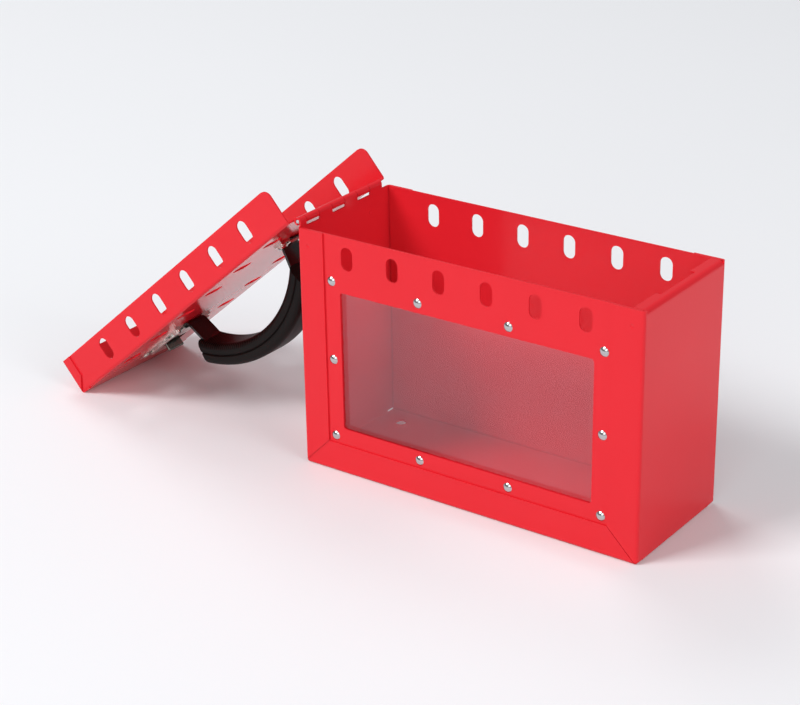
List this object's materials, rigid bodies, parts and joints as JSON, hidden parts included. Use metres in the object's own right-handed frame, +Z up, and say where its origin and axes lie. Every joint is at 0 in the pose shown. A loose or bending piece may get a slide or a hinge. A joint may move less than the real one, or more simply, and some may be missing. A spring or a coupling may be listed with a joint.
{
  "type": "group lockout box",
  "caption": "Sheet steel lockout box with a clear front window, shackle slots along both sides, a hinged slotted lid laid open, a bow handle and a sprung slide latch.",
  "frame": {"origin": "middle of the underside of the base", "axes": "+X from the hinge end to the latch end, +Y from the window side to the back, +Z up"},
  "size_m": [0.4289, 0.0972, 0.1695],
  "materials": {
    "red_paint": "glossy red powder coat",
    "clear_pane": "clear acrylic",
    "bright_steel": "bright",
    "nickel": "nickel plated",
    "zinc_plate": "zinc plated",
    "spring_steel": "drawn wire",
    "black_moulding": "satin moulded",
    "black_strap": "satin black"
  },
  "bodies": {
    "body": {"body_wrap": "red_paint", "front_plate": "red_paint", "back_plate": "red_paint", "window_pane": "clear_pane", "window_rivets": "bright_steel", "window_washers": "bright_steel", "hinge_pin": "bright_steel"},
    "lid": {"lid_shell": "red_paint", "handle_grip": "black_moulding", "handle_strap": "black_strap", "saddle_hinge_side": "nickel", "saddle_latch_side": "nickel", "saddle_screws_hinge_side": "nickel", "saddle_screws_latch_side": "nickel", "saddle_nuts_hinge_side": "zinc_plate", "saddle_nuts_latch_side": "zinc_plate", "latch_cover": "nickel", "latch_rivets": "nickel", "latch_housing": "zinc_plate", "latch_spring": "spring_steel"},
    "latch": {"latch_slide": "zinc_plate"}
  },
  "joints": [
    {"name": "lid_hinge", "type": "hinge", "parent": "body", "child": "lid", "pos_m": [-0.11638, 0, 0.15388], "axis": [0, 1, 0], "range_deg": [0, 220.79]},
    {"name": "latch_slide", "type": "slide", "parent": "lid", "child": "latch", "axis": [0.7571, 0, 0.6534], "range_m": [0, 0.006], "stiffness_N_per_m": 400, "springref_m": -0.003, "deforming": ["latch_spring"]}
  ]
}
